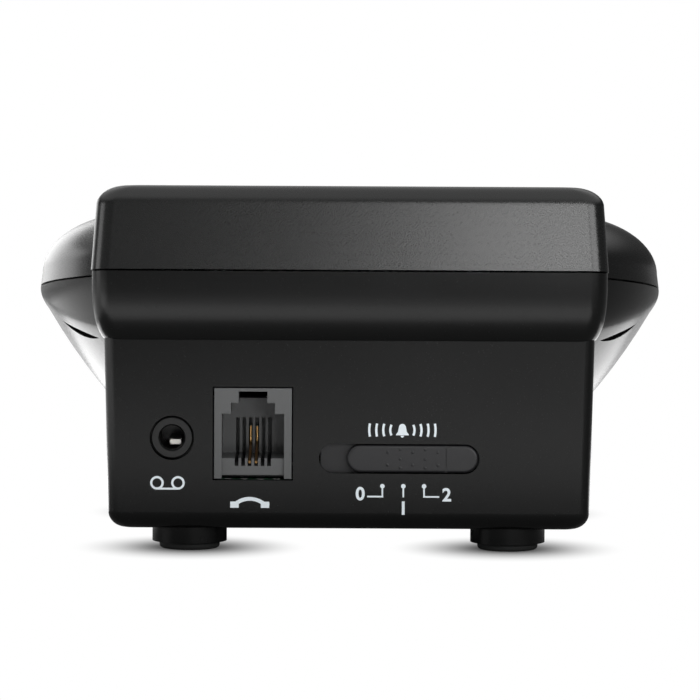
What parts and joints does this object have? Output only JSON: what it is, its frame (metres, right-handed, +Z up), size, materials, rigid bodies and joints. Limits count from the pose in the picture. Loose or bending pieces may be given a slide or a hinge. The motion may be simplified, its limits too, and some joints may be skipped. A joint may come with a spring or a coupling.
{
  "type": "headset telephone base",
  "caption": "Desk telephone base for a headset: tilted round keypad body with a raised block at the back, a connector box below and sockets for line, headset and recorder.",
  "frame": {"origin": "middle of the bounding box at the desk, under the feet", "axes": "+Z up, -Y towards the user, +Y out of the connector wall, +X to the user's right"},
  "size_m": [0.1014, 0.0963, 0.0578],
  "materials": {
    "black_abs": "fine matt texture",
    "knob_black": "satin",
    "plate_grey": "satin",
    "key_grey": "satin",
    "key_blue": "satin",
    "jack_grey": "moulded",
    "jack_black": "moulded",
    "gilt_wire": "gold-plated spring wire",
    "silvered_spring": "silver-plated leaf",
    "zinc_steel": "zinc-plated",
    "foot_rubber": "matt",
    "silicone": "matt",
    "board_green": "solder mask on glass-fibre board",
    "lens_red": "clear red",
    "cable_grey": "satin",
    "core_dark": "lacquered"
  },
  "bodies": {
    "base": {"capacitor": "core_dark", "case_screw_front_left": "zinc_steel", "case_screw_front_right": "zinc_steel", "case_screw_rear_left": "zinc_steel", "case_screw_rear_right": "zinc_steel", "dial_chip": "jack_black", "face_plate": "plate_grey", "foot_front_left": "foot_rubber", "foot_front_right": "foot_rubber", "foot_rear_left": "foot_rubber", "foot_rear_right": "foot_rubber", "headset_contact_1": "gilt_wire", "headset_contact_2": "gilt_wire", "headset_contact_3": "gilt_wire", "headset_contact_4": "gilt_wire", "headset_jack": "jack_black", "key_board": "board_green", "key_board_screw_1": "zinc_steel", "key_board_screw_2": "zinc_steel", "key_mat": "silicone", "lamp_lens": "lens_red", "line_contact_1": "gilt_wire", "line_contact_2": "gilt_wire", "line_jack": "jack_grey", "line_lamp": "lens_red", "line_transformer": "core_dark", "lower_case": "black_abs", "main_board": "board_green", "main_board_screw_1": "zinc_steel", "main_board_screw_2": "zinc_steel", "rec_contact": "silvered_spring", "rec_jack": "jack_black", "ribbon_cable": "cable_grey", "ringer_switch": "jack_black", "sounder": "jack_black", "top_cover": "black_abs", "volume_pot": "jack_black"},
    "key_1": {"key_1": "key_grey"},
    "key_2": {"key_2": "key_grey"},
    "key_3": {"key_3": "key_grey"},
    "key_4": {"key_4": "key_grey"},
    "key_5": {"key_5": "key_grey"},
    "key_6": {"key_6": "key_grey"},
    "key_7": {"key_7": "key_grey"},
    "key_8": {"key_8": "key_grey"},
    "key_9": {"key_9": "key_grey"},
    "key_star": {"key_star": "key_grey"},
    "key_0": {"key_0": "key_grey"},
    "key_hash": {"key_hash": "key_grey"},
    "flash_key": {"flash_key": "key_grey"},
    "redial_key": {"redial_key": "key_grey"},
    "mute_key": {"mute_key": "key_grey"},
    "talk_key": {"talk_key": "key_blue"},
    "ringer_slider": {"ringer_slider": "knob_black", "ringer_lever": "jack_black"},
    "volume_wheel": {"volume_wheel": "knob_black"}
  },
  "joints": [
    {"name": "key_1_press", "type": "slide", "parent": "base", "child": "key_1", "axis": [0, 0.1288, -0.9917], "range_m": [0, 0.0012], "stiffness_N_per_m": 600, "deforming": ["key_mat"]},
    {"name": "key_2_press", "type": "slide", "parent": "base", "child": "key_2", "axis": [0, 0.1288, -0.9917], "range_m": [0, 0.0012], "stiffness_N_per_m": 600, "deforming": ["key_mat"]},
    {"name": "key_3_press", "type": "slide", "parent": "base", "child": "key_3", "axis": [0, 0.1288, -0.9917], "range_m": [0, 0.0012], "stiffness_N_per_m": 600, "deforming": ["key_mat"]},
    {"name": "key_4_press", "type": "slide", "parent": "base", "child": "key_4", "axis": [0, 0.1288, -0.9917], "range_m": [0, 0.0012], "stiffness_N_per_m": 600, "deforming": ["key_mat"]},
    {"name": "key_5_press", "type": "slide", "parent": "base", "child": "key_5", "axis": [0, 0.1288, -0.9917], "range_m": [0, 0.0012], "stiffness_N_per_m": 600, "deforming": ["key_mat"]},
    {"name": "key_6_press", "type": "slide", "parent": "base", "child": "key_6", "axis": [0, 0.1288, -0.9917], "range_m": [0, 0.0012], "stiffness_N_per_m": 600, "deforming": ["key_mat"]},
    {"name": "key_7_press", "type": "slide", "parent": "base", "child": "key_7", "axis": [0, 0.1288, -0.9917], "range_m": [0, 0.0012], "stiffness_N_per_m": 600, "deforming": ["key_mat"]},
    {"name": "key_8_press", "type": "slide", "parent": "base", "child": "key_8", "axis": [0, 0.1288, -0.9917], "range_m": [0, 0.0012], "stiffness_N_per_m": 600, "deforming": ["key_mat"]},
    {"name": "key_9_press", "type": "slide", "parent": "base", "child": "key_9", "axis": [0, 0.1288, -0.9917], "range_m": [0, 0.0012], "stiffness_N_per_m": 600, "deforming": ["key_mat"]},
    {"name": "key_star_press", "type": "slide", "parent": "base", "child": "key_star", "axis": [0, 0.1288, -0.9917], "range_m": [0, 0.0012], "stiffness_N_per_m": 600, "deforming": ["key_mat"]},
    {"name": "key_0_press", "type": "slide", "parent": "base", "child": "key_0", "axis": [0, 0.1288, -0.9917], "range_m": [0, 0.0012], "stiffness_N_per_m": 600, "deforming": ["key_mat"]},
    {"name": "key_hash_press", "type": "slide", "parent": "base", "child": "key_hash", "axis": [0, 0.1288, -0.9917], "range_m": [0, 0.0012], "stiffness_N_per_m": 600, "deforming": ["key_mat"]},
    {"name": "flash_key_press", "type": "slide", "parent": "base", "child": "flash_key", "axis": [0, 0.1288, -0.9917], "range_m": [0, 0.0012], "stiffness_N_per_m": 600, "deforming": ["key_mat"]},
    {"name": "redial_key_press", "type": "slide", "parent": "base", "child": "redial_key", "axis": [0, 0.1288, -0.9917], "range_m": [0, 0.0012], "stiffness_N_per_m": 600, "deforming": ["key_mat"]},
    {"name": "mute_key_press", "type": "slide", "parent": "base", "child": "mute_key", "axis": [0, 0.1288, -0.9917], "range_m": [0, 0.0012], "stiffness_N_per_m": 600, "deforming": ["key_mat"]},
    {"name": "talk_key_press", "type": "slide", "parent": "base", "child": "talk_key", "axis": [0, 0.1288, -0.9917], "range_m": [0, 0.0012], "stiffness_N_per_m": 600, "deforming": ["key_mat"]},
    {"name": "ringer_slide", "type": "slide", "parent": "base", "child": "ringer_slider", "axis": [1, 0, 0], "range_m": [0, 0.004]},
    {"name": "volume_turn", "type": "hinge", "parent": "base", "child": "volume_wheel", "pos_m": [0.02381, 0.00614, 0.04822], "axis": [1, 0, 0], "range_deg": [-135, 135]}
  ]
}
